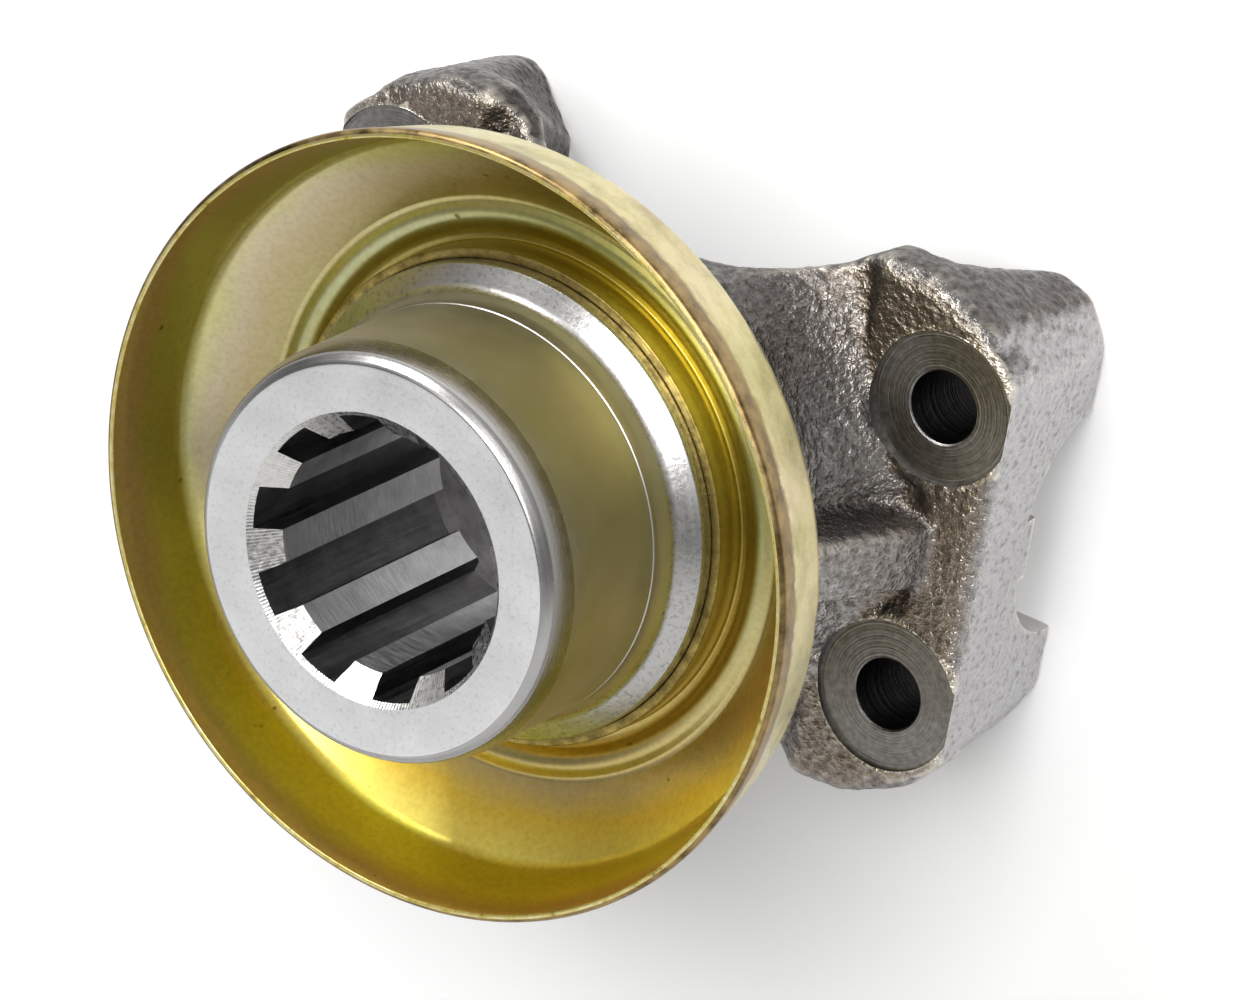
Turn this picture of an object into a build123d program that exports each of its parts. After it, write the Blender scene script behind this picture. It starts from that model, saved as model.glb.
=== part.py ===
from build123d import *
import os

# End yoke of a drive shaft: a forging with a splined hub and two ears, and a dust shield pressed on the hub.
# Millimetres. Z is the hub axis, nose up. X runs along the bearing caps. Z = 0 is the plane of the ear tips,
# which is also the height of the cap axis.

# Cross joint that the ears take
cap_diameter = 27.0
cap_span = 81.8
cross_swing_radius = 28.2
bolt_row_spacing = 34.925
bolt_ear_spacing = 73.2
bolt_hole_diameter = 8.3
spot_face_diameter = 17.7
spot_face_height = 22.6

# Hub, from the nose down
nose_height = 74.2
nose_face_diameter = 43.5
nose_edge_round = 0.9
lead_in_length = 3.8
journal_diameter = 46.8
journal_fillet = 1.5
shoulder_rise = 2.5
collar_seat_diameter = 53.8
collar_seat_length = 6.8
shield_seat_height = 44.3
neck_diameter = 56.0
neck_ring_height = 40.0
neck_waist_width = 51.0
neck_end_height = 33.0
flare_radius = 13.0
flare_reach = 10.0
flare_drop = 12.0

# Splined bore and nut recess
spline_major_diameter = 31.75
spline_minor_diameter = 27.3
spline_space_width = 4.95
spline_teeth = 10
spline_mouth_diameter = 32.7
spline_end_height = 41.0
spline_end_chamfer = 1.0
nut_recess_diameter = 38.5

# Ears: heights of the outline sections and the relief of their front, with setbacks from the bolt holes
boss_front_height = 23.3
parting_height = 18.0
front_edge_round = 2.2
upright_edge_round = 3.4
upright_edge_setback = 6.6
web_floor_height = 19.4
web_floor_setback = 14.6
web_flank_angle = 50.0
pocket_setback = 1.0
pocket_width = 15.0
pocket_corner = 4.0
pocket_flank_angle = 30.0
rib_width = 8.0
rib_top_height = 38.0
rib_foot_height = 24.2
rib_reach = 10.2
rib_lean = 5.0
rib_edge_round = 1.2
lug_width = 7.4
lug_rise = 2.6

# Half outlines of the ears seen along the hub axis. Web corners are (distance from the hub axis, half width),
# boss corners are (distance beyond the bolt holes, half width).
parting_web = [(0, 23.4), (13, 26.0), (20.5, 28.0)]
parting_boss = [(-10.2, 31.9), (-3.4, 31.5), (4.1, 27.8), (8.2, 21.4)]
tip_web = [(0, 12.0), (13, 13.4), (21.5, 15.2)]
tip_boss = [(-8.4, 19.0), (-1.8, 27.8), (3.8, 26.0), (6.6, 20.8)]

# Dust shield: the middle line of its sheet, from the collar edge out to the rim, with heights above its seat
sheet = 1.15
collar_edge_rise = 5.3
valley_rise = 0.2
bead_diameter = 61.4
bead_rise = 2.3
dish_inner_diameter = 65.8
dish_inner_rise = 1.2
dish_outer_diameter = 83.2
dish_outer_rise = 7.5
wall_diameter = 86.4
wall_rise = 15.5
rim_diameter = 88.6
rim_rise = 18.0
valley_bend = 0.75
bead_bend = 1.0
dish_bend = 1.5
crease_bend = 1.8

# Anything longer than the part, for cuts that go right through
beyond = 2 * nose_height


def ear_outline(web, boss, height):
    """Closed outline of both ears at a height, from the corners of one quarter."""
    outer = web[1:] + [(bolt_ear_spacing / 2 + x, y) for x, y in boss]
    right = outer + [(x, -y) for x, y in reversed(outer)]
    left = [(-x, -y) for x, y in right]
    around = [web[0]] + right + [(0, -web[0][1])] + left
    return Pos(0, 0, height) * make_face(Polyline(*reversed(around), close=True))


def turned(*points):
    """Solid turned about the hub axis from (radius, height) points."""
    return revolve(make_face(Plane.XZ * Polyline(*points, close=True)), Axis.Z)


def upright_cut(diameter, bottom):
    """Cylinder about the hub axis from a height upwards, for cutting."""
    return Pos(0, 0, bottom) * Cylinder(diameter / 2, beyond, align=(Align.CENTER, Align.CENTER, Align.MIN))


def forged_ears():
    """Both ears with their drafted sides, rounded edges, raised bosses and the pocket between the bosses."""
    bolts = bolt_ear_spacing / 2
    tips = ear_outline(tip_web, tip_boss, 0)
    ears = loft([tips, ear_outline(parting_web, parting_boss, parting_height)], ruled=True)
    upright = [e for e in ears.edges() if e.bounding_box().size.Z > front_edge_round]
    outer = [e for e in upright if abs((e @ 0.5).X) > bolts - upright_edge_setback]
    ears = fillet(outer, upright_edge_round)
    ears += extrude(ears.faces().sort_by(Axis.Z)[-1], boss_front_height - parting_height)
    ears = fillet(ears.faces().sort_by(Axis.Z)[-1].edges(), front_edge_round)
    floor = Pos(0, 0, web_floor_height)
    depth = 2 * (boss_front_height - web_floor_height)
    web = Rectangle(2 * (bolts - web_floor_setback), beyond)
    ears -= extrude(floor * web, depth, taper=-web_flank_angle)
    pocket = RectangleRounded(2 * (bolts - pocket_setback), pocket_width, pocket_corner)
    return ears - extrude(floor * pocket, depth, taper=-pocket_flank_angle)


def hub_blank(outline):
    """Turned nose, seal journal, shield seat and the neck that flares into the ears."""
    neck = neck_diameter / 2
    nose = nose_face_diameter / 2
    journal = journal_diameter / 2
    seat = collar_seat_diameter / 2
    shoulder = shield_seat_height + collar_seat_length
    flare_top = (neck, neck_end_height)
    flare_foot = (neck + flare_reach, neck_end_height - flare_drop)
    turned_line = [
        (0, nose_height),
        (nose, nose_height),
        (nose + nose_edge_round, nose_height - nose_edge_round),
        (journal, nose_height - lead_in_length),
        (journal, shoulder + shoulder_rise),
        (seat, shoulder),
        (seat, shield_seat_height),
        (neck, shield_seat_height),
        flare_top,
    ]
    rounds = [0, nose_edge_round, 0, journal_fillet, 0, 0, 0]
    outside = FilletPolyline(*turned_line, radius=rounds)
    outside += RadiusArc(flare_top, flare_foot, -flare_radius)
    outside += Polyline(flare_foot, (flare_foot[0], parting_height), (0, parting_height), (0, nose_height))
    blank = revolve(Plane.XZ * make_face(outside), Axis.Z)
    waist = upright_cut(neck_diameter, 0) & Box(beyond, neck_waist_width, beyond)
    return blank & (extrude(outline, beyond) + waist + upright_cut(neck_diameter, neck_ring_height))


def gusset_rib():
    """Rib from the hub to the front of one ear."""
    neck = neck_diameter / 2
    foot = neck + rib_reach
    top = foot - rib_lean
    side = [(0, 0), (0, rib_top_height), (top, rib_top_height), (foot, rib_foot_height)]
    side += [(foot, web_floor_height), (neck, web_floor_height), (neck, 0)]
    rib = extrude(Plane.XZ * make_face(Polyline(*side, close=True)), rib_width / 2, both=True)
    boxes = [(e, e.bounding_box()) for e in rib.edges()]
    slope = [e for e, box in boxes if box.size.X > rib_edge_round and box.min.X > top - rib_edge_round]
    return fillet(slope, rib_edge_round)


def spline_cutter():
    """Everything taken out along the hub axis: splines, lead-in cone and nut recess."""
    minor = spline_minor_diameter / 2
    mouth = spline_mouth_diameter / 2
    cutter = upright_cut(spline_minor_diameter, 0)
    from_axis = (Align.MIN, Align.CENTER, Align.CENTER)
    space = Box(spline_major_diameter, spline_space_width, 2 * beyond, align=from_axis)
    spaces = Part() + [place * space for place in PolarLocations(0, spline_teeth)]
    cutter += spaces & upright_cut(spline_major_diameter, 0)
    cutter += turned((0, nose_height - mouth), (mouth, nose_height), (mouth, beyond), (0, beyond))
    recess = nut_recess_diameter / 2
    chamfered = minor + spline_end_chamfer
    cutter += turned((0, 0), (recess, 0), (recess, spline_end_height), (chamfered, spline_end_height),
                     (0, spline_end_height + chamfered))
    return cutter


def cap_seats():
    """Half-round cap seats through both ears, less the lugs that stop the caps at their outer ends."""
    seat = Rot(0, 90, 0) * Cylinder(cap_diameter / 2, beyond)
    between_lugs = Box(cap_span, beyond, beyond)
    upwards = (Align.CENTER, Align.CENTER, Align.MIN)
    lugs = Pos(0, 0, cap_diameter / 2 - lug_rise) * Box(beyond, lug_width, beyond, align=upwards)
    return seat - (lugs - between_lugs)


def bolt_cuts():
    """Bolt holes and the spot faces round them."""
    hole = Cylinder(bolt_hole_diameter / 2, 2 * beyond)
    places = GridLocations(bolt_ear_spacing, bolt_row_spacing, 2, 2)
    cuts = Part() + [place * hole for place in places]
    return cuts + [place * upright_cut(spot_face_diameter, spot_face_height) for place in places]


def forging():
    """The yoke forging, blank first and then its machining."""
    rib = gusset_rib()
    blank = forged_ears() + hub_blank(ear_outline(parting_web, parting_boss, 0)) + rib + Rot(0, 0, 180) * rib
    blank -= Rot(90, 0, 0) * Cylinder(cross_swing_radius, beyond)
    return blank - cap_seats() - bolt_cuts() - spline_cutter()


def dust_shield():
    """Pressed sheet shield: collar on the hub seat, bead, dish, wall and flared rim."""
    collar = (collar_seat_diameter + sheet) / 2
    line = [
        (collar, collar_edge_rise),
        (collar, valley_rise),
        (bead_diameter / 2, bead_rise),
        (dish_inner_diameter / 2, dish_inner_rise),
        (dish_outer_diameter / 2, dish_outer_rise),
        (wall_diameter / 2, wall_rise),
        (rim_diameter / 2 - sheet / 2, rim_rise),
    ]
    bends = [valley_bend, bead_bend, dish_bend, crease_bend, 0]
    middle = FilletPolyline(*line, radius=bends)
    section = trace(middle, line_width=sheet)
    return Pos(0, 0, shield_seat_height) * revolve(Plane.XZ * section, Axis.Z)


os.makedirs("parts", exist_ok=True)
for name, solid in (("yoke_forging", forging()), ("dust_shield", dust_shield())):
    export_step(solid, f"parts/{name}.step")
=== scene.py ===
import math

import bmesh
import bpy
from mathutils import Matrix, Vector, noise


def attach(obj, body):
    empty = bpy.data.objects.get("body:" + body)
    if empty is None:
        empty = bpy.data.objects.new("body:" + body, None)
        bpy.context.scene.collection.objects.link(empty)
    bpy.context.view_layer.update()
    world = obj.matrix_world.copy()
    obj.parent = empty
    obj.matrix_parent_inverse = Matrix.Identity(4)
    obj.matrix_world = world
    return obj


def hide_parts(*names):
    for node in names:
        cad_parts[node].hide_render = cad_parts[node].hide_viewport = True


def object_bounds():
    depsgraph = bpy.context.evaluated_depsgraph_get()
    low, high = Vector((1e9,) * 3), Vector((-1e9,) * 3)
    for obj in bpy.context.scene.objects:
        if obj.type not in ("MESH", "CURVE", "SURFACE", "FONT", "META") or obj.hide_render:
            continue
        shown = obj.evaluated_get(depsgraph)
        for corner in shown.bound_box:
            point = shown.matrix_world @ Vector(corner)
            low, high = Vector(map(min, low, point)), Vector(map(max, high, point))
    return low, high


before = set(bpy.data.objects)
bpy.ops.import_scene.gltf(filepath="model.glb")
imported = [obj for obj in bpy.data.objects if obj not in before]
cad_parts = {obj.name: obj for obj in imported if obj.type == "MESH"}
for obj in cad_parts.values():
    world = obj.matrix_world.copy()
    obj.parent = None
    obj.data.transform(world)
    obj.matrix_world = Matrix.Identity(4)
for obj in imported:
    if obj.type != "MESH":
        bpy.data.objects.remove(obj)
cad_low, cad_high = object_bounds()

# Sizes are in metres. Z is the hub axis, nose up, and X runs along the bearing caps.
MM = 0.001

# Ears, as in the solids
BOLT_X = 36.6 * MM
BOLT_Y = 17.4625 * MM
BOLT_RADIUS = 4.15 * MM
BOSS_HEIGHT = 23.3 * MM
CAP_RADIUS = 13.5 * MM
CAP_STOP = 40.9 * MM
LUG_HALF = 3.7 * MM
LUG_BOTTOM = 10.9 * MM
END_FACE = 43.2 * MM
END_SLOPE = 0.089
RECESS_RADIUS = 19.25 * MM

# Spot faces, with a lip of forged skin round them
SPOT_RADIUS = 8.75 * MM
SPOT_HEIGHT = 22.85 * MM
BOLT_CHAMFER = 0.2 * MM

# Stock that fills the machined places of the forging before it is worn
PLUG_SINK = 1.1 * MM
PAD_RADIUS = 9.8 * MM
PAD_DEPTH = 5.0 * MM
CAP_INNER = 28.3 * MM
FILL_START = 26.5 * MM
FILL_END = 37.5 * MM
FILL_WIDTH = 21.0 * MM
FILL_START_TOP = 20.0 * MM
FILL_END_TOP = 23.2 * MM
FILL_BOTTOM = 15.0 * MM

# Forged skin: its grid, how often it is smoothed, and its lumps as (lumps per metre, height)
SKIN_GRID = 0.5 * MM
LIP_DEPTH = 2.5 * MM
LIP_MARGIN = 0.8 * MM
LIP_PASSES = 2
REST_PASSES = 4
SKIN_LUMPS = [(520, 0.09 * MM), (980, 0.1 * MM), (110, 0.12 * MM)]
SKIN_SINK = 0.02 * MM
SKIN_CREASE = 38

# Cutters, which reach past what they cut
BOLT_CUT_BOTTOM = -2 * MM
BOLT_CUT_TOP = 32 * MM
SEAT_CUT_START = 20 * MM
SEAT_CUT_END = 52 * MM
SEAT_CUT_OVERLAP = 0.02 * MM
LUG_BLOCK_LENGTH = 60 * MM
LUG_BLOCK_HEIGHT = 10 * MM
LUG_BLOCK_X = 45 * MM
JOIN_HEIGHT = 44.25 * MM
SLAB_WIDTH = 200 * MM
SLAB_HEIGHT = 100 * MM
SOCKET_RADIUS = 22 * MM
SOCKET_FOOT = 41.2 * MM
SOCKET_TOP = 50 * MM
RECESS_MARGIN = 0.3 * MM

# Turned hub, from its foot up
HUB_FOOT = 41.0 * MM
SEAT_RADIUS = 26.9 * MM
SEAT_TOP = 51.15 * MM
SHOULDER_RADIUS = 24.3 * MM
SHOULDER_TOP = 52.55 * MM
JOURNAL_RADIUS = 23.4 * MM
JOURNAL_FOOT = 54.2 * MM
GROOVE_RADIUS = 23.28 * MM
GROOVE_FOOT = 55.3 * MM
GROOVE_TOP = 55.7 * MM
GROOVE_EDGE = 0.1 * MM
LEAD_IN_FOOT = 70.4 * MM
LEAD_IN_RADIUS = 22.65 * MM
LEAD_IN_TOP = 73.3 * MM
NOSE_RADIUS = 21.75 * MM
NOSE_HEIGHT = 74.2 * MM
HUB_CREASE = 30

# Splined bore with its cone at the mouth and its chamfer at the foot
SPLINE_TEETH = 10
SPLINE_MAJOR = 15.875 * MM
SPLINE_MINOR = 13.65 * MM
SPACE_HALF = 2.475 * MM
SPACE_STEPS = 4
LAND_STEPS = 6
BORE_CUT_BOTTOM = 30 * MM
BORE_CUT_LENGTH = 60 * MM
MOUTH_APEX = 56.85 * MM
MOUTH_RADIUS = 17.35 * MM
MOUTH_TOP = 75.2 * MM
MOUTH_CUT_TOP = 80 * MM
CHAMFER_RADIUS = 14.65 * MM
CHAMFER_TOP = 42.65 * MM
CHAMFER_TOP_RADIUS = 13.0 * MM

# Where one finish of the hub ends and the next begins
NOSE_MARGIN = 0.02 * MM
BORE_REACH = 16.5 * MM
LEAD_IN_FROM = 70.5 * MM
JOURNAL_FROM = 53.3 * MM
CONE_LEAN = 0.4
LAND_FACING = 0.8
LAND_REACH = 14.2 * MM

# Order of the hub's materials, and of the shield's
NOSE, JOURNAL, SHOULDER, LEAD_IN, SPACE, LAND, MOUTH = range(7)
DISH, BACK, EDGE = range(3)

# Dust shield: the middle line of its sheet, from the collar out to the rim
SHEET = 1.1 * MM
COLLAR_RADIUS = 27.475 * MM
COLLAR_EDGE = 49.6 * MM
VALLEY_RADIUS = 29.3 * MM
VALLEY_HEIGHT = 44.9 * MM
BEAD_RADIUS = 30.9 * MM
BEAD_HEIGHT = 46.45 * MM
DISH_INNER_RADIUS = 32.9 * MM
DISH_INNER_HEIGHT = 45.6 * MM
DISH_OUTER_RADIUS = 41.6 * MM
DISH_OUTER_HEIGHT = 51.9 * MM
WALL_RADIUS = 43.2 * MM
WALL_HEIGHT = 59.8 * MM
RIM_RADIUS = 43.75 * MM
RIM_HEIGHT = 62.3 * MM
RIM_EDGE_FROM = 44.0 * MM
RIM_ROUND = 0.65 * MM
SHEET_ROUND = 0.18 * MM
SHIELD_CREASE = 35

# How finely round shapes are divided, and how close points are merged
ROUND_STEPS = 192
SHIELD_STEPS = 256
CUTTER_STEPS = 96
PLUG_SEGMENTS = 48
PAD_SEGMENTS = 64
SEAT_PLUG_SEGMENTS = 96
SEAT_CUT_SEGMENTS = 128
CORNER_SEGMENTS = 7
EDGE_SEGMENTS = 3
MERGE = 1e-6
SLIVER = 0.01 * MM

# Colours, and the range in which most of a noise lies
WHITE = (1.0, 1.0, 1.0)
NOISE_LOW = 0.3
NOISE_HIGH = 0.7

# Floor, lamps and camera
FLOOR_HALF = 4.0
FLOOR_NEAR = 0.105
FLOOR_FAR = 0.26
FLOOR_GLOW = 0.22
FLOOR_LIGHT = 0.25
TABLE_UP = (0.0, 0.963, 0.27)
LAMP_DISTANCE = 0.8
PART_MIDDLE = Vector((0, 0, 0.035))
SENSOR_WIDTH = 36.0
LENS_LENGTH = 225.4
CAMERA_PLACE = (0.39506, 0.35407, 0.71002)
CAMERA_UP = Vector((-0.35452, 0.89573, -0.26831))
CAMERA_BACK = Vector((0.45361, 0.41567, 0.78832))


# Shapes
def wire(points):
    """Bmesh of an open line in the XZ plane, from (radius, height) points."""
    bm = bmesh.new()
    verts = [bm.verts.new((radius, 0, height)) for radius, height in points]
    for a, b in zip(verts, verts[1:]):
        bm.edges.new((a, b))
    return bm, verts


def soften(bm, verts, rounds):
    """Rounds corners of a line: each entry is a corner's number and how far its round reaches."""
    for corner, reach in rounds.items():
        bmesh.ops.bevel(
            bm,
            geom=[verts[corner]],
            offset=reach,
            offset_type="OFFSET",
            segments=CORNER_SEGMENTS,
            profile=0.5,
            affect="VERTICES",
            material=-1,
        )


def spun(bm, steps):
    """Turns a line about the hub axis into a skin whose faces all point the same way."""
    bmesh.ops.spin(
        bm,
        geom=bm.verts[:] + bm.edges[:],
        cent=(0, 0, 0),
        axis=(0, 0, 1),
        angle=math.tau,
        steps=steps,
        use_merge=True,
    )
    bmesh.ops.remove_doubles(bm, verts=bm.verts[:], dist=MERGE)
    bmesh.ops.recalc_face_normals(bm, faces=bm.faces[:])
    return bm


def turned(points, rounds=None, steps=ROUND_STEPS):
    """Solid turned about the hub axis from (radius, height) points that start and end on the axis."""
    bm, verts = wire(points)
    soften(bm, verts, rounds or {})
    return spun(bm, steps)


def add_cylinder(bm, radius, length, segments):
    """Adds an upright cylinder about the origin and returns its vertices."""
    made = bmesh.ops.create_cone(
        bm, cap_ends=True, segments=segments, radius1=radius, radius2=radius, depth=length)
    return made["verts"]


def add_lying_cylinder(bm, radius, low, high, segments):
    """Adds a cylinder along X between two places and returns its vertices."""
    verts = add_cylinder(bm, radius, high - low, segments)
    bmesh.ops.rotate(bm, verts=verts, matrix=Matrix.Rotation(math.pi / 2, 3, "Y"))
    bmesh.ops.translate(bm, verts=verts, vec=((low + high) / 2, 0, 0))
    return verts


def block(size, middle):
    """Bmesh of a box."""
    bm = bmesh.new()
    bmesh.ops.create_cube(bm, size=1)
    bmesh.ops.scale(bm, verts=bm.verts[:], vec=size)
    bmesh.ops.translate(bm, verts=bm.verts[:], vec=middle)
    return bm


def turn_outwards(bm, verts):
    """Makes the faces at some vertices point outwards."""
    bmesh.ops.recalc_face_normals(bm, faces=list({f for v in verts for f in v.link_faces}))


def piece(name, bm, *materials):
    """Object at the origin from a bmesh, with its materials."""
    mesh = bpy.data.meshes.new(name)
    bm.to_mesh(mesh)
    bm.free()
    obj = bpy.data.objects.new(name, mesh)
    bpy.context.scene.collection.objects.link(obj)
    for material in materials:
        mesh.materials.append(material)
    return obj


def settle(obj):
    """Applies the object's modifiers to its mesh."""
    graph = bpy.context.evaluated_depsgraph_get()
    done = bpy.data.meshes.new_from_object(obj.evaluated_get(graph))
    obj.modifiers.clear()
    obj.data = done
    return obj


def cleared(obj):
    """Clears slivers, corners that no shape needs and stray ones, and closes what they leave open."""
    bm = bmesh.new()
    bm.from_mesh(obj.data)
    bmesh.ops.remove_doubles(bm, verts=bm.verts[:], dist=SLIVER)
    bmesh.ops.dissolve_degenerate(bm, edges=bm.edges[:], dist=SLIVER)
    bmesh.ops.dissolve_verts(bm, verts=[v for v in bm.verts if len(v.link_edges) == 2])
    bmesh.ops.delete(bm, geom=[e for e in bm.edges if not e.link_faces], context="EDGES")
    bmesh.ops.delete(bm, geom=[v for v in bm.verts if not v.link_faces], context="VERTS")
    bmesh.ops.holes_fill(bm, edges=[e for e in bm.edges if e.is_boundary], sides=0)
    bmesh.ops.recalc_face_normals(bm, faces=bm.faces[:])
    bm.to_mesh(obj.data)
    bm.free()
    return obj


def machined(obj, *cutters):
    """Takes the cutters out of a piece, and removes them from the scene."""
    for cutter in cutters:
        cut = obj.modifiers.new("cut", "BOOLEAN")
        cut.operation = "DIFFERENCE"
        cut.solver = "EXACT"
        cut.material_mode = "TRANSFER"
        cut.object = cutter
        settle(obj)
        bpy.data.objects.remove(cutter)
    return cleared(obj)


def crisp(obj, angle):
    """Smooth shading that breaks at edges sharper than the angle, in degrees."""
    obj.data.shade_smooth()
    obj.data.set_sharp_from_angle(angle=math.radians(angle))


# Node helpers for the finishes
def finish(name):
    """New metal with its node tree and its shader."""
    material = bpy.data.materials.new(name)
    material.use_nodes = True
    tree = material.node_tree
    shader = tree.nodes["Principled BSDF"]
    shader.inputs["Metallic"].default_value = 1.0
    return material, tree, shader


def node(tree, kind, inputs=None, **settings):
    """New node. Each input is a value, or a socket to link from."""
    made = tree.nodes.new(kind)
    for key, value in settings.items():
        setattr(made, key, value)
    for key, value in (inputs or {}).items():
        if isinstance(value, bpy.types.NodeSocket):
            tree.links.new(value, made.inputs[key])
        else:
            made.inputs[key].default_value = value
    return made


def place(tree):
    """Place on the piece, in metres."""
    return node(tree, "ShaderNodeTexCoord").outputs["Object"]


def split(tree, vector):
    """The three parts of a vector."""
    return node(tree, "ShaderNodeSeparateXYZ", {"Vector": vector}).outputs


def joined(tree, **parts):
    """Vector from some of its parts."""
    return node(tree, "ShaderNodeCombineXYZ", parts).outputs[0]


def calc(tree, operation, *values):
    """Result of a math node."""
    return node(tree, "ShaderNodeMath", dict(enumerate(values)), operation=operation).outputs[0]


def spread(tree, x, y):
    """Distance from an axis, from the two offsets across it."""
    return calc(tree, "SQRT", calc(tree, "ADD", calc(tree, "MULTIPLY", x, x), calc(tree, "MULTIPLY", y, y)))


def mean(tree, first, second):
    """Number halfway between two."""
    return calc(tree, "ADD", calc(tree, "MULTIPLY", first, 0.5), calc(tree, "MULTIPLY", second, 0.5))


def grain(tree, where, scale, detail=3.0, roughness=0.55):
    """Noise with about as many lumps per metre as its scale."""
    inputs = {"Vector": where, "Scale": scale, "Detail": detail, "Roughness": roughness}
    return node(tree, "ShaderNodeTexNoise", inputs).outputs["Fac"]


def ramp(tree, value, stops):
    """Colour for a value, from (value, colour) stops."""
    made = node(tree, "ShaderNodeValToRGB", {"Fac": value})
    line = made.color_ramp
    while len(line.elements) < len(stops):
        line.elements.new(0.5)
    for element, (at, colour) in zip(line.elements, stops):
        element.position = at
        element.color = (*colour, 1)
    return made.outputs["Color"]


def level(tree, value, low, high, start=0.0, end=1.0):
    """Number that goes from low to high while a value goes from start to end."""
    inputs = {"Value": value, "From Min": start, "From Max": end, "To Min": low, "To Max": high}
    return node(tree, "ShaderNodeMapRange", inputs).outputs["Result"]


def over_noise(tree, value, low, high):
    """Number that goes from low to high over the usual range of a noise."""
    return level(tree, value, low, high, NOISE_LOW, NOISE_HIGH)


def blend(tree, share, first, second, how="MIX"):
    """Colour between two, or one laid on the other."""
    made = node(tree, "ShaderNodeMix", {0: share}, data_type="RGBA", blend_type=how)
    for socket, colour in ((made.inputs[6], first), (made.inputs[7], second)):
        if isinstance(colour, bpy.types.NodeSocket):
            tree.links.new(colour, socket)
        else:
            socket.default_value = (*colour, 1)
    return made.outputs[2]


def tinted(tree, colour, tint, share=1.0):
    """Colour multiplied by a tint, or by a share of it."""
    return blend(tree, share, colour, tint, "MULTIPLY")


def relief(tree, height, strength, distance, under=None):
    """Bumps from a height, on top of other bumps if there are any."""
    inputs = {"Height": height, "Strength": strength, "Distance": distance}
    if under is not None:
        inputs["Normal"] = under
    return node(tree, "ShaderNodeBump", inputs).outputs["Normal"]


def dress(tree, shader, colour, roughness, normal):
    """Links a finish's colour, roughness and bumps to its shader."""
    tree.links.new(colour, shader.inputs["Base Color"])
    tree.links.new(roughness, shader.inputs["Roughness"])
    tree.links.new(normal, shader.inputs["Normal"])


# Finishes
def forged_skin_finish():
    """Shot-blasted skin: worn peaks between brown pits, with painted shade darkening the flanks, the faces
    towards the hub and the faces towards the nose, painted light on the ends, and edge wear with painted
    glints.
    """
    material, tree, shader = finish("forged_skin")
    at = place(tree)
    x = split(tree, at)[0]
    form = node(tree, "ShaderNodeNewGeometry").outputs
    way = split(tree, form["True Normal"])
    pits = grain(tree, at, scale=1150, detail=2.5, roughness=0.6)
    cloud = grain(tree, at, scale=70, detail=4, roughness=0.6)
    peak_tones = [(0.3, (0.19, 0.17, 0.155)), (0.5, (0.34, 0.325, 0.315)), (0.68, (0.47, 0.46, 0.455))]
    cloud_tones = [(0.3, (0.8, 0.76, 0.72)), (0.7, WHITE)]
    painted_end_light_tones = [(0.32, (0.36, 0.35, 0.35)), (0.46, (0.53, 0.52, 0.53))]
    skin = tinted(tree, ramp(tree, pits, peak_tones), ramp(tree, cloud, cloud_tones))
    # Painted shade: the sides that face along Y are darkened.
    painted_flank_shade = level(tree, calc(tree, "ABSOLUTE", way[1]), 0.0, 0.85, start=0.3, end=0.7)
    skin = tinted(tree, skin, (0.32, 0.31, 0.31), painted_flank_shade)
    outwards = calc(tree, "MULTIPLY", way[0], calc(tree, "SIGN", x))
    # Painted shade: faces that turn towards the hub are darkened.
    painted_inner_shade = level(tree, outwards, 0.0, 0.9, start=-0.15, end=-0.4)
    skin = tinted(tree, skin, (0.4, 0.38, 0.37), painted_inner_shade)
    # Painted shade and painted reflection: faces that look towards the nose are darkened and tinted brown,
    # as if mirroring the back of the shield.
    painted_front_shade = level(tree, way[2], 0.0, 0.8, start=0.75, end=0.95)
    skin = tinted(tree, skin, (0.74, 0.66, 0.58), painted_front_shade)
    # Painted light: the outer end faces of the ears, where they face outwards, get lighter tones.
    far_out = level(tree, calc(tree, "ABSOLUTE", x), 0.0, 0.75, start=39.5 * MM, end=41.5 * MM)
    painted_end_light = calc(tree, "MULTIPLY", far_out, level(tree, outwards, 0.0, 1.0, start=0.6, end=0.9))
    skin = blend(tree, painted_end_light, skin, ramp(tree, pits, painted_end_light_tones))
    # Edge wear and painted glints: convex edges are lightened towards a pale gold.
    edge_wear_and_glint = level(tree, form["Pointiness"], 0.0, 0.9, start=0.51, end=0.56)
    skin = blend(tree, edge_wear_and_glint, skin, (0.78, 0.72, 0.62))
    bumps = relief(tree, pits, strength=1.0, distance=0.45 * MM)
    dress(tree, shader, skin, over_noise(tree, pits, 0.5, 0.24), bumps)
    return material


def ground_steel_finish(name, base, smooth, rough, lines, specks=0.0):
    """Machined steel with fine marks that run round the hub axis, and pits where it is rougher."""
    material, tree, shader = finish(name)
    at = place(tree)
    x, y, z = split(tree, at)
    marks = grain(tree, joined(tree, X=spread(tree, x, y), Z=z), scale=lines, detail=4, roughness=0.7)
    cloud = grain(tree, at, scale=120, detail=5, roughness=0.62)
    fine = grain(tree, at, scale=1900, detail=3, roughness=0.6)
    clouded = ramp(tree, cloud, [(0.3, tuple(0.84 * c for c in base)), (0.7, base)])
    pitted = ramp(tree, fine, [(0.33, (1 - specks,) * 3), (0.47, WHITE)])
    lined = relief(tree, marks, strength=0.1, distance=0.06 * MM)
    bumps = relief(tree, fine, strength=0.08 + 0.5 * specks, distance=0.1 * MM, under=lined)
    roughness = over_noise(tree, mean(tree, marks, cloud), smooth, rough)
    dress(tree, shader, tinted(tree, clouded, pitted), roughness, bumps)
    return material


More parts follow.
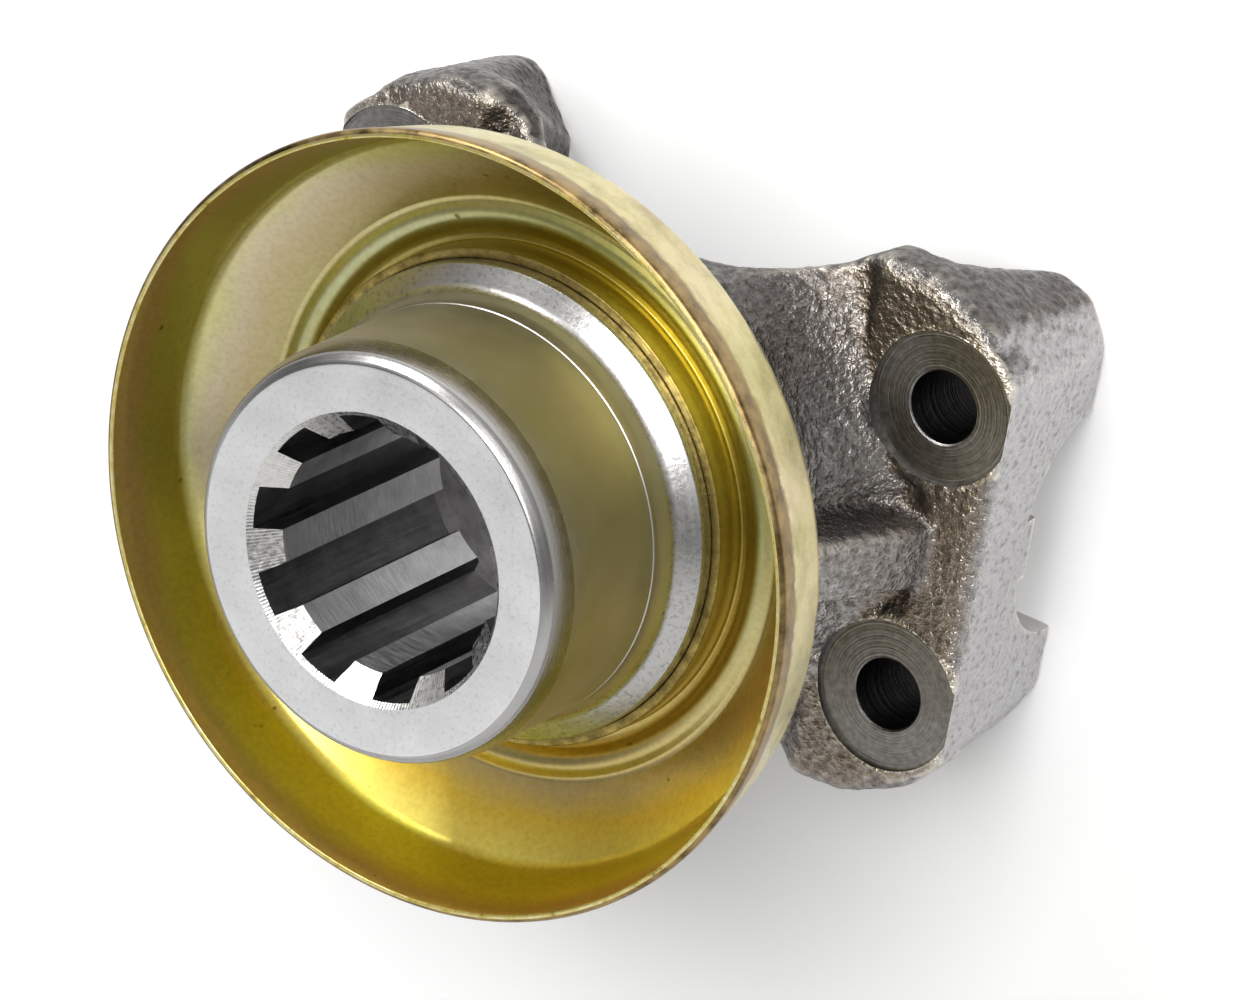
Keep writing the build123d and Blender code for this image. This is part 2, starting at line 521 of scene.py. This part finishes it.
def spot_face_finish():
    """Spot faces with rings of tool marks round each bolt hole, and painted shade inside the hole."""
    material, tree, shader = finish("spot_face_steel")
    at = place(tree)
    x, y, z = split(tree, at)
    out_x = calc(tree, "SUBTRACT", calc(tree, "ABSOLUTE", x), BOLT_X)
    out_y = calc(tree, "SUBTRACT", calc(tree, "ABSOLUTE", y), BOLT_Y)
    right = calc(tree, "MULTIPLY", out_x, calc(tree, "SIGN", x))
    ahead = calc(tree, "MULTIPLY", out_y, calc(tree, "SIGN", y))
    round_hole = joined(tree, X=calc(tree, "MULTIPLY", ahead, -1.0), Y=right)
    along_rings = node(tree, "ShaderNodeVectorMath", {0: round_hole}, operation="NORMALIZE").outputs[0]
    shader.inputs["Anisotropic"].default_value = 0.75
    tree.links.new(along_rings, shader.inputs["Tangent"])
    across_rings = joined(tree, X=spread(tree, out_x, out_y), Z=z)
    rings = grain(tree, across_rings, scale=4200, detail=2, roughness=0.6)
    cloud = grain(tree, at, scale=1100, detail=4, roughness=0.65)
    clouded = ramp(tree, cloud, [(0.3, (0.16, 0.152, 0.148)), (0.7, (0.29, 0.28, 0.275))])
    # Painted shade: the colour is darkened inside the bolt hole.
    painted_hole_shade = level(tree, z, 1.0, 0.0, start=22.3 * MM, end=22.6 * MM)
    colour = tinted(tree, clouded, (0.4, 0.38, 0.38), painted_hole_shade)
    bumps = relief(tree, rings, strength=1.0, distance=0.1 * MM)
    dress(tree, shader, colour, over_noise(tree, rings, 0.25, 0.42), bumps)
    return material


def bore_finish(name, dark, light, along, across):
    """Cut steel in the bore, between the dark and light tones it is given, with marks drawn out along or
    across the hub axis.
    """
    material, tree, shader = finish(name)
    at = place(tree)
    stretch = {0: at, 1: (across, across, along)}
    drawn = node(tree, "ShaderNodeVectorMath", stretch, operation="MULTIPLY").outputs[0]
    marks = grain(tree, drawn, scale=1.0, detail=3, roughness=0.6)
    cloud = grain(tree, at, scale=260, detail=5, roughness=0.65)
    colour = ramp(tree, mean(tree, marks, cloud), [(0.36, dark), (0.64, light)])
    bumps = relief(tree, marks, strength=0.4, distance=0.1 * MM)
    dress(tree, shader, colour, over_noise(tree, marks, 0.3, 0.55), bumps)
    return material


def mouth_finish():
    """Cone at the mouth of the bore, bright, with the chatter of the cutter across it."""
    material, tree, shader = finish("mouth_steel")
    at = place(tree)
    x, y, _ = split(tree, at)
    turn = calc(tree, "MULTIPLY", calc(tree, "ARCTAN2", y, x), 260.0)
    wander = calc(tree, "MULTIPLY", grain(tree, at, scale=700), 2.5)
    chatter = calc(tree, "SINE", calc(tree, "ADD", turn, wander))
    fine = grain(tree, at, scale=1600, detail=4, roughness=0.6)
    colour = ramp(tree, fine, [(0.3, (0.5, 0.48, 0.46)), (0.65, (0.76, 0.75, 0.73))])
    waves = relief(tree, chatter, strength=0.25, distance=0.04 * MM)
    bumps = relief(tree, fine, strength=0.25, distance=0.1 * MM, under=waves)
    dress(tree, shader, colour, over_noise(tree, fine, 0.2, 0.42), bumps)
    return material


def dish_zinc_finish():
    """Yellow chromate on the dish side of the shield, in bands of tint from the collar out to the rim, with
    painted light making the lower side brighter and more golden and painted shade darkening it towards the
    top.
    """
    material, tree, shader = finish("dish_zinc")
    at = place(tree)
    x, y, z = split(tree, at)
    cloud = grain(tree, at, scale=38, detail=4, roughness=0.55)
    up_wall = calc(tree, "MAXIMUM", calc(tree, "SUBTRACT", z, 52 * MM), 0.0)
    out = calc(tree, "ADD", spread(tree, x, y), up_wall)
    out = calc(tree, "ADD", out, over_noise(tree, cloud, -1.8 * MM, 1.8 * MM))
    film = level(tree, out, 0.0, 1.0, start=27 * MM, end=53 * MM)
    upper_bands = [
        (0.0, (0.5, 0.41, 0.13)),
        (0.08, (0.48, 0.41, 0.13)),
        (0.15, (0.54, 0.55, 0.31)),
        (0.22, (0.6, 0.53, 0.25)),
        (0.34, (0.62, 0.51, 0.29)),
        (0.44, (0.67, 0.58, 0.4)),
        (0.54, (0.68, 0.65, 0.29)),
        (0.61, (0.5, 0.48, 0.12)),
        (0.78, (0.47, 0.44, 0.1)),
        (0.9, (0.5, 0.36, 0.13)),
    ]
    lower_lit_bands = [
        (0.0, (0.6, 0.46, 0.15)),
        (0.15, (0.62, 0.5, 0.2)),
        (0.26, (0.7, 0.54, 0.24)),
        (0.4, (0.88, 0.6, 0.08)),
        (0.54, (0.9, 0.74, 0.16)),
        (0.62, (0.82, 0.79, 0.07)),
        (0.8, (0.82, 0.76, 0.08)),
        (0.95, (0.58, 0.42, 0.14)),
    ]
    # Painted light: the lower side of the dish takes brighter, more golden bands.
    side = calc(tree, "SUBTRACT", calc(tree, "MULTIPLY", x, 0.3), calc(tree, "MULTIPLY", y, 0.9))
    side = calc(tree, "ADD", side, over_noise(tree, cloud, -8 * MM, 8 * MM))
    painted_lower_light = level(tree, side, 0.0, 1.0, start=-4 * MM, end=26 * MM)
    tint = blend(tree, painted_lower_light, ramp(tree, film, upper_bands), ramp(tree, film, lower_lit_bands))
    # Painted shade: the dish is darkened towards the top.
    towards_top = calc(tree, "ADD", y, calc(tree, "MULTIPLY", x, 0.6))
    top = level(tree, towards_top, 0.0, 1.0, start=14 * MM, end=34 * MM)
    tint = tinted(tree, tint, (0.9, 0.87, 0.55), top)
    fine = grain(tree, at, scale=1400, detail=4, roughness=0.65)
    spots = grain(tree, at, scale=420, detail=2, roughness=0.5)
    specks = ramp(tree, spots, [(0.22, (0.45, 0.36, 0.24)), (0.27, WHITE)])
    grainy = ramp(tree, fine, [(0.3, (0.86, 0.85, 0.8)), (0.6, WHITE)])
    colour = tinted(tree, tint, tinted(tree, grainy, specks))
    bumps = relief(tree, fine, strength=0.12, distance=0.08 * MM)
    dress(tree, shader, colour, over_noise(tree, cloud, 0.25, 0.37), bumps)
    return material


def back_zinc_finish():
    """Paler chromate on the outside of the shield, with a brown band of painted shade just behind the rim.
    """
    material, tree, shader = finish("back_zinc")
    at = place(tree)
    z = split(tree, at)[2]
    cloud = grain(tree, at, scale=60, detail=5, roughness=0.6)
    blotch = grain(tree, at, scale=330, detail=4, roughness=0.65)
    mottle = grain(tree, at, scale=170, detail=6, roughness=0.7)
    cloud_tones = [(0.3, (0.5, 0.46, 0.2)), (0.5, (0.68, 0.6, 0.32)), (0.7, (0.7, 0.58, 0.4))]
    mottle_tones = [(0.34, (0.68, 0.66, 0.58)), (0.58, WHITE)]
    pale = tinted(tree, ramp(tree, cloud, cloud_tones), ramp(tree, mottle, mottle_tones))
    # Painted shade: a blotchy brown band darkens the outside just behind the rim.
    up = calc(tree, "ADD", z, level(tree, blotch, -1.2 * MM, 1.2 * MM))
    painted_rim_shade = level(tree, up, 0.0, 0.95, start=58.7 * MM, end=59.5 * MM)
    brown = ramp(tree, blotch, [(0.32, (0.1, 0.06, 0.02)), (0.62, (0.36, 0.25, 0.11))])
    bumps = relief(tree, blotch, strength=0.08, distance=0.1 * MM)
    dress(tree, shader, blend(tree, painted_rim_shade, pale, brown), over_noise(tree, blotch, 0.24, 0.46), bumps)
    return material


def edge_zinc_finish():
    """Sheared edges of the shield, with dark nicks: scratched bright at the rim and dull at the collar."""
    material, tree, shader = finish("edge_zinc")
    at = place(tree)
    x, y, _ = split(tree, at)
    nicks = grain(tree, at, scale=520, detail=5, roughness=0.7)
    bright_tones = [(0.3, (0.26, 0.2, 0.06)), (0.42, (0.62, 0.51, 0.14)), (0.64, (0.78, 0.7, 0.36))]
    dull_tones = [(0.32, (0.14, 0.1, 0.03)), (0.6, (0.42, 0.32, 0.1))]
    rim = level(tree, spread(tree, x, y), 0.0, 1.0, start=30 * MM, end=31 * MM)
    colour = blend(tree, rim, ramp(tree, nicks, dull_tones), ramp(tree, nicks, bright_tones))
    bumps = relief(tree, nicks, strength=0.5, distance=0.2 * MM)
    dress(tree, shader, colour, over_noise(tree, nicks, 0.5, 0.25), bumps)
    return material


# Forged body: the solid with its machined places filled, worn round, machined again and then pitted
def add_bolt_plugs(bm, side_x, side_y):
    """Stock that fills a bolt hole and the spot face round it."""
    hole = (BOLT_RADIUS, 0.0, SPOT_HEIGHT)
    spot = (SPOT_RADIUS, SPOT_HEIGHT - PLUG_SINK, BOSS_HEIGHT)
    for radius, low, high in (hole, spot):
        plug = add_cylinder(bm, radius, high - low, PLUG_SEGMENTS)
        bmesh.ops.translate(bm, verts=plug, vec=(side_x * BOLT_X, side_y * BOLT_Y, (low + high) / 2))


def add_boss_pad(bm, side_x, side_y):
    """Stock round a spot face, so that a lip of forged skin stays about it, inside the ear's end face."""
    pad = add_cylinder(bm, PAD_RADIUS, PAD_DEPTH, PAD_SEGMENTS)
    bmesh.ops.translate(bm, verts=pad, vec=(BOLT_X, BOLT_Y, BOSS_HEIGHT - PAD_DEPTH / 2))
    for v in pad:
        v.co.x = min(v.co.x, cad_high[0]) * side_x
        v.co.y *= side_y
    turn_outwards(bm, pad)


def add_pocket_fill(bm, side_x):
    """Stock between the two bosses of an ear, which rises from the rib towards the end face."""
    fill = bmesh.ops.create_cube(bm, size=1)["verts"]
    for v in fill:
        outer = v.co.x > 0
        x = FILL_END if outer else FILL_START
        top = FILL_END_TOP if outer else FILL_START_TOP
        v.co = Vector((side_x * x, v.co.y * FILL_WIDTH, top if v.co.z > 0 else FILL_BOTTOM))
    turn_outwards(bm, fill)


def add_seat_plug(bm, side_x):
    """Stock that fills a cap seat out to the sloping end face of the ear."""
    seat = add_lying_cylinder(bm, CAP_RADIUS, CAP_INNER, END_FACE, SEAT_PLUG_SEGMENTS)
    for v in seat:
        v.co.z = max(v.co.z, 0.0)
        if v.co.x > CAP_STOP:
            v.co.x += END_SLOPE * v.co.z
        v.co.x *= side_x
    turn_outwards(bm, seat)


def filled_blank(skin):
    """The forging from the solids before its machining, on an even grid."""
    bm = bmesh.new()
    bm.from_mesh(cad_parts["yoke_forging"].data)
    bmesh.ops.remove_doubles(bm, verts=bm.verts[:], dist=MERGE)
    for side_x in (-1, 1):
        for side_y in (-1, 1):
            add_bolt_plugs(bm, side_x, side_y)
            add_boss_pad(bm, side_x, side_y)
        add_pocket_fill(bm, side_x)
        add_seat_plug(bm, side_x)
    body = piece("forged_body", bm, skin)
    grid = body.modifiers.new("grid", "REMESH")
    grid.mode = "VOXEL"
    grid.voxel_size = SKIN_GRID
    return settle(body)


def on_lip(spot):
    """Whether a place is on the lip of forged skin round a spot face."""
    from_bolt = math.hypot(abs(spot.x) - BOLT_X, abs(spot.y) - BOLT_Y)
    return spot.z > BOSS_HEIGHT - LIP_DEPTH and from_bolt < PAD_RADIUS + LIP_MARGIN


def worn(body):
    """Rounds the edges of the blank, the lips of its bosses less than the rest."""
    bm = bmesh.new()
    bm.from_mesh(body.data)
    rest = [v for v in bm.verts if not on_lip(v.co)]
    for verts in [bm.verts[:]] * LIP_PASSES + [rest] * REST_PASSES:
        bmesh.ops.smooth_vert(
            bm, verts=verts, factor=0.5, use_axis_x=True, use_axis_y=True, use_axis_z=True)
    bm.to_mesh(body.data)
    bm.free()
    return body


def blasted(body):
    """Gives the forged skin, up to the machined edges, the lumps of forging and shot blasting."""
    bm = bmesh.new()
    bm.from_mesh(body.data)
    bm.normal_update()
    skin = [v for v in bm.verts if all(f.material_index == 0 for f in v.link_faces)]
    for v in skin:
        rise = sum(height * noise.noise(v.co * scale) for scale, height in SKIN_LUMPS)
        v.co += v.normal * (rise - SKIN_SINK)
    for v in bm.verts:
        for axis in range(3):
            v.co[axis] = min(max(v.co[axis], cad_low[axis]), cad_high[axis])
    bm.to_mesh(body.data)
    bm.free()
    return body


def bolt_cutters(steel):
    """Bolt holes with their spot faces and a thin chamfer."""
    line = [
        (0, BOLT_CUT_BOTTOM),
        (BOLT_RADIUS, BOLT_CUT_BOTTOM),
        (BOLT_RADIUS, SPOT_HEIGHT - BOLT_CHAMFER),
        (BOLT_RADIUS + BOLT_CHAMFER, SPOT_HEIGHT),
        (SPOT_RADIUS, SPOT_HEIGHT),
        (SPOT_RADIUS, BOLT_CUT_TOP),
        (0, BOLT_CUT_TOP),
    ]
    made = []
    for side_x in (-1, 1):
        for side_y in (-1, 1):
            bm = turned(line, steps=CUTTER_STEPS)
            bmesh.ops.translate(bm, verts=bm.verts[:], vec=(side_x * BOLT_X, side_y * BOLT_Y, 0))
            made.append(piece("bolt_cutter", bm, steel))
    return made


def seat_cutters(steel):
    """Half-round cap seats, with the lugs left standing at their outer ends."""
    lug_size = (LUG_BLOCK_LENGTH, 2 * LUG_HALF, LUG_BLOCK_HEIGHT)
    lug_middle = LUG_BOTTOM + LUG_BLOCK_HEIGHT / 2
    made = []
    for side in (-1, 1):
        for ends in ((SEAT_CUT_START, CAP_STOP), (CAP_STOP - SEAT_CUT_OVERLAP, SEAT_CUT_END)):
            bm = bmesh.new()
            low, high = sorted(side * end for end in ends)
            add_lying_cylinder(bm, CAP_RADIUS, low, high, SEAT_CUT_SEGMENTS)
            cutter = piece("seat_cutter", bm, steel)
            if max(ends) > CAP_STOP:
                lug = block(lug_size, (side * LUG_BLOCK_X, 0, lug_middle))
                machined(cutter, piece("lug", lug, steel))
            made.append(cutter)
    return made


def hub_cutters(steel):
    """Slab that takes the upper hub off the forged body, and a socket in which the turned hub stands."""
    slab = block((SLAB_WIDTH, SLAB_WIDTH, SLAB_HEIGHT), (0, 0, JOIN_HEIGHT + SLAB_HEIGHT / 2))
    socket_line = [
        (0, SOCKET_FOOT),
        (SOCKET_RADIUS, SOCKET_FOOT),
        (SOCKET_RADIUS, SOCKET_TOP),
        (0, SOCKET_TOP),
    ]
    socket = turned(socket_line, steps=CUTTER_STEPS)
    return piece("hub_slab", slab, steel), piece("hub_socket", socket, steel)


def forged_body():
    """Ears, neck and ribs with their forged skin and machined places."""
    seat_steel = ground_steel_finish(
        "cap_seat_steel", (0.56, 0.55, 0.54), smooth=0.25, rough=0.45, lines=900)
    # Painted shade: the steel of the nut recess is made very dark.
    shaded_recess_steel = bore_finish(
        "nut_recess_shaded_steel", (0.1, 0.095, 0.095), (0.24, 0.23, 0.23), along=900, across=500)
    body = worn(filled_blank(forged_skin_finish()))
    machined(body, *bolt_cutters(spot_face_finish()), *seat_cutters(seat_steel), *hub_cutters(shaded_recess_steel))
    recess = body.data.materials.find(shaded_recess_steel.name)
    for face in body.data.polygons:
        if face.center.xy.length < RECESS_RADIUS + RECESS_MARGIN and face.center.z > CAP_RADIUS:
            face.material_index = recess
    crisp(cleared(blasted(body)), SKIN_CREASE)
    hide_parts("yoke_forging")
    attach(body, "root")


# Turned hub with the splined bore
def spline_outline():
    """Corners of the bore, as (radius, angle), tooth by tooth."""
    inner = math.asin(SPACE_HALF / SPLINE_MINOR)
    outer = math.asin(SPACE_HALF / SPLINE_MAJOR)
    pitch = math.tau / SPLINE_TEETH
    corners = []
    for tooth in range(SPLINE_TEETH):
        middle = tooth * pitch
        for step in range(SPACE_STEPS + 1):
            corners.append((SPLINE_MAJOR, middle + outer * (2 * step / SPACE_STEPS - 1)))
        for step in range(LAND_STEPS + 1):
            corners.append((SPLINE_MINOR, middle + inner + (pitch - 2 * inner) * step / LAND_STEPS))
    return corners


def spline_cutter():
    """Bar with the outline of the splined bore."""
    bm = bmesh.new()
    corners = [(r * math.cos(t), r * math.sin(t), BORE_CUT_BOTTOM) for r, t in spline_outline()]
    end = bm.faces.new([bm.verts.new(corner) for corner in corners])
    raised = bmesh.ops.extrude_face_region(bm, geom=[end])["geom"]
    top = [part for part in raised if isinstance(part, bmesh.types.BMVert)]
    bmesh.ops.translate(bm, verts=top, vec=(0, 0, BORE_CUT_LENGTH))
    bmesh.ops.recalc_face_normals(bm, faces=bm.faces[:])
    return piece("spline_cutter", bm)


def mouth_cutter():
    """Cone at the mouth of the bore."""
    line = [
        (0, MOUTH_APEX),
        (MOUTH_RADIUS, MOUTH_TOP),
        (MOUTH_RADIUS, MOUTH_CUT_TOP),
        (0, MOUTH_CUT_TOP),
    ]
    return piece("mouth_cutter", turned(line))


def foot_cutter():
    """Chamfer at the foot of the bore."""
    line = [
        (0, BORE_CUT_BOTTOM),
        (CHAMFER_RADIUS, BORE_CUT_BOTTOM),
        (CHAMFER_RADIUS, HUB_FOOT),
        (CHAMFER_TOP_RADIUS, CHAMFER_TOP),
        (0, CHAMFER_TOP),
    ]
    return piece("foot_cutter", turned(line))


def hub_finish(face):
    """Which of the hub's materials a face has."""
    centre = face.center
    radius = math.hypot(centre.x, centre.y)
    if centre.z > NOSE_HEIGHT - NOSE_MARGIN:
        return NOSE
    if radius > BORE_REACH:
        if centre.z > LEAD_IN_FROM:
            return LEAD_IN
        return JOURNAL if centre.z > JOURNAL_FROM else SHOULDER
    if face.normal.z > CONE_LEAN:
        return MOUTH
    inwards = -(face.normal.x * centre.x + face.normal.y * centre.y) / radius
    return LAND if inwards > LAND_FACING and radius < LAND_REACH else SPACE


def turned_hub():
    """Shield seat, seal journal and nose, turned in one and bored."""
    nose = ground_steel_finish(
        "nose_face_steel", (0.86, 0.86, 0.865), smooth=0.34, rough=0.48, lines=1500, specks=0.14)
    journal = ground_steel_finish(
        "journal_steel", (0.56, 0.55, 0.53), smooth=0.26, rough=0.42, lines=2200)
    shoulder = ground_steel_finish(
        "shoulder_steel", (0.54, 0.53, 0.52), smooth=0.18, rough=0.36, lines=1200, specks=0.34)
    lead_in = ground_steel_finish(
        "lead_in_steel", (0.46, 0.45, 0.44), smooth=0.18, rough=0.34, lines=3000)
    # Painted shade: the spline spaces are a near-black copy of the steel of the lands.
    shaded_spline_spaces = bore_finish(
        "spline_space_shaded_steel", (0.05, 0.047, 0.049), (0.14, 0.135, 0.14), along=90, across=1500)
    lands = bore_finish(
        "spline_land_steel", (0.36, 0.355, 0.36), (0.62, 0.61, 0.62), along=2600, across=420)
    line = [
        (0, HUB_FOOT),
        (SEAT_RADIUS, HUB_FOOT),
        (SEAT_RADIUS, SEAT_TOP),
        (SHOULDER_RADIUS, SHOULDER_TOP),
        (JOURNAL_RADIUS, JOURNAL_FOOT),
        (JOURNAL_RADIUS, GROOVE_FOOT),
        (GROOVE_RADIUS, GROOVE_FOOT + GROOVE_EDGE),
        (GROOVE_RADIUS, GROOVE_TOP - GROOVE_EDGE),
        (JOURNAL_RADIUS, GROOVE_TOP),
        (JOURNAL_RADIUS, LEAD_IN_FOOT),
        (LEAD_IN_RADIUS, LEAD_IN_TOP),
        (NOSE_RADIUS, NOSE_HEIGHT),
        (0, NOSE_HEIGHT),
    ]
    rounds = {2: 0.25 * MM, 3: 0.6 * MM, 4: 0.5 * MM, 10: 0.35 * MM, 11: 0.35 * MM}
    finishes = (nose, journal, shoulder, lead_in, shaded_spline_spaces, lands, mouth_finish())
    hub = piece("turned_hub", turned(line, rounds), *finishes)
    machined(hub, spline_cutter(), mouth_cutter(), foot_cutter())
    for face in hub.data.polygons:
        face.material_index = hub_finish(face)
    crisp(hub, HUB_CREASE)
    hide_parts("yoke_forging")
    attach(hub, "root")


# Pressed dust shield
def round_sheet_edges(shield):
    """Breaks the sharp edges of the sheet, most of all the outer one at the rim."""
    bm = bmesh.new()
    bm.from_mesh(shield.data)
    corners = [e for e in bm.edges if len({f.material_index for f in e.link_faces}) == 2]
    rim = [e for e in corners if all(v.co.xy.length > RIM_EDGE_FROM for v in e.verts)]
    others = [e for e in corners if e not in set(rim)]
    for edges, reach, material in ((rim, RIM_ROUND, BACK), (others, SHEET_ROUND, EDGE)):
        bmesh.ops.bevel(
            bm,
            geom=edges,
            offset=reach,
            offset_type="OFFSET",
            segments=EDGE_SEGMENTS,
            profile=0.5,
            affect="EDGES",
            material=material,
        )
    bm.to_mesh(shield.data)
    bm.free()


def dust_shield_sheet():
    """Shield spun from the middle line of its sheet and given its thickness."""
    line = [
        (COLLAR_RADIUS, COLLAR_EDGE),
        (COLLAR_RADIUS, VALLEY_HEIGHT),
        (VALLEY_RADIUS, VALLEY_HEIGHT),
        (BEAD_RADIUS, BEAD_HEIGHT),
        (DISH_INNER_RADIUS, DISH_INNER_HEIGHT),
        (DISH_OUTER_RADIUS, DISH_OUTER_HEIGHT),
        (WALL_RADIUS, WALL_HEIGHT),
        (RIM_RADIUS, RIM_HEIGHT),
    ]
    bends = {1: 0.8 * MM, 2: 0.7 * MM, 3: 0.9 * MM, 4: 0.8 * MM, 5: 1.2 * MM, 6: 0.6 * MM}
    bm, verts = wire(line)
    soften(bm, verts, bends)
    spun(bm, SHIELD_STEPS)
    if sum(f.normal.z * f.calc_area() for f in bm.faces) < 0:
        bmesh.ops.reverse_faces(bm, faces=bm.faces[:])
    shield = piece("dust_shield_sheet", bm, dish_zinc_finish(), back_zinc_finish(), edge_zinc_finish())
    wall = shield.modifiers.new("sheet", "SOLIDIFY")
    wall.thickness = SHEET
    wall.offset = 0
    wall.material_offset = BACK - DISH
    wall.material_offset_rim = EDGE - DISH
    settle(shield)
    round_sheet_edges(shield)
    crisp(shield, SHIELD_CREASE)
    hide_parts("dust_shield")
    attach(shield, "root")


# Floor, light and camera
def white_floor():
    """Pale floor that fades a little to the sides."""
    material, tree, shader = finish("white_floor")
    shader.inputs["Metallic"].default_value = 0.0
    shader.inputs["Roughness"].default_value = 0.9
    shader.inputs["Specular IOR Level"].default_value = 0.0
    shader.inputs["Emission Color"].default_value = (*WHITE, 1)
    x = split(tree, place(tree))[0]
    near = level(tree, calc(tree, "ABSOLUTE", x), 1.0, 0.0, start=FLOOR_NEAR, end=FLOOR_FAR)
    greys = ramp(tree, near, [(0.0, (0.55,) * 3), (1.0, (0.88,) * 3)])
    tree.links.new(greys, shader.inputs["Base Color"])
    path = node(tree, "ShaderNodeLightPath").outputs
    seen = calc(tree, "MAXIMUM", path["Is Camera Ray"], path["Is Glossy Ray"])
    seen = calc(tree, "MAXIMUM", seen, path["Is Transmission Ray"])
    glow = calc(tree, "MULTIPLY", calc(tree, "MULTIPLY", seen, near), FLOOR_GLOW)
    tree.links.new(glow, shader.inputs["Emission Strength"])
    bm = bmesh.new()
    bmesh.ops.create_grid(bm, x_segments=1, y_segments=1, size=FLOOR_HALF)
    piece("white_floor", bm, material)


def studio_world():
    """Soft light: white from the side of the table, dim just above it and grey from the room overhead."""
    world = bpy.data.worlds.new("studio")
    bpy.context.scene.world = world
    world.use_nodes = True
    tree = world.node_tree
    way = node(tree, "ShaderNodeTexCoord").outputs["Generated"]
    rise = node(tree, "ShaderNodeVectorMath", {0: way, 1: TABLE_UP}, operation="DOT_PRODUCT")
    tones = [(0.41, (0.98,) * 3), (0.47, (0.28,) * 3), (0.66, (0.2,) * 3), (0.82, (0.6,) * 3)]
    light = ramp(tree, level(tree, rise.outputs["Value"], 0.0, 1.0, start=-1.0, end=1.0), tones)
    diffuse = node(tree, "ShaderNodeLightPath").outputs["Is Diffuse Ray"]
    tree.links.new(blend(tree, diffuse, light, (FLOOR_LIGHT,) * 3), tree.nodes["Background"].inputs["Color"])


def softbox(name, towards, size, watts):
    """Square area lamp that looks at the middle of the part from a direction."""
    lamp = bpy.data.lights.new(name, "AREA")
    lamp.shape = "SQUARE"
    lamp.size = size
    lamp.energy = watts
    obj = bpy.data.objects.new(name, lamp)
    bpy.context.scene.collection.objects.link(obj)
    way = Vector(towards).normalized()
    obj.location = PART_MIDDLE + way * LAMP_DISTANCE
    obj.rotation_mode = "QUATERNION"
    obj.rotation_quaternion = (-way).to_track_quat("-Z", "Y")


def photo_camera():
    """Camera at the photograph's viewing angle."""
    lens = bpy.data.cameras.new("photo_camera")
    lens.sensor_width = SENSOR_WIDTH
    lens.lens = LENS_LENGTH
    lens.clip_start = 0.01
    lens.clip_end = 20.0
    camera = bpy.data.objects.new("photo_camera", lens)
    bpy.context.scene.collection.objects.link(camera)
    right = CAMERA_UP.cross(CAMERA_BACK)
    turn = Matrix((right, CAMERA_UP, CAMERA_BACK)).transposed()
    camera.matrix_world = Matrix.Translation(CAMERA_PLACE) @ turn.to_4x4()
    bpy.context.scene.camera = camera


forged_body()
turned_hub()
dust_shield_sheet()
white_floor()
studio_world()
softbox("key_box", towards=(0.2, 0.45, 0.87), size=0.44, watts=5.4)
softbox("glint_box", towards=(-0.45, 0.76, 0.39), size=0.26, watts=3.2)
photo_camera()
bpy.context.scene.view_settings.view_transform = "Standard"
